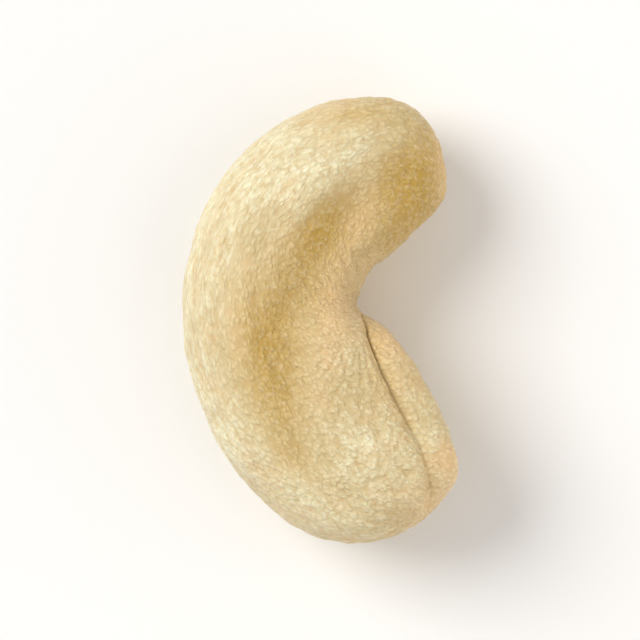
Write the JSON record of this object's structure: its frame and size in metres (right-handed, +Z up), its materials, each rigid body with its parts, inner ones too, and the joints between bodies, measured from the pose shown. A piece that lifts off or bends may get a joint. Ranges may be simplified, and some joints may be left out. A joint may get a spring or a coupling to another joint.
{
  "type": "cashew kernel",
  "caption": "Whole pale cream cashew kernel: kidney-shaped, hooked at the narrow end, with a soft furrow along the face and a seam between the seed leaves.",
  "frame": {"origin": "centre of the kernel's bounding box in plan, at the height of the three low spots it rests on", "axes": "+Y along the length towards the narrow, hooked end; +X towards the inner, concave side; +Z up, out of the face with the furrow"},
  "size_m": [0.0166, 0.027, 0.0108],
  "materials": {
    "cashew_flesh": null
  },
  "bodies": {
    "root": {"cashew_kernel": "cashew_flesh"}
  },
  "joints": []
}
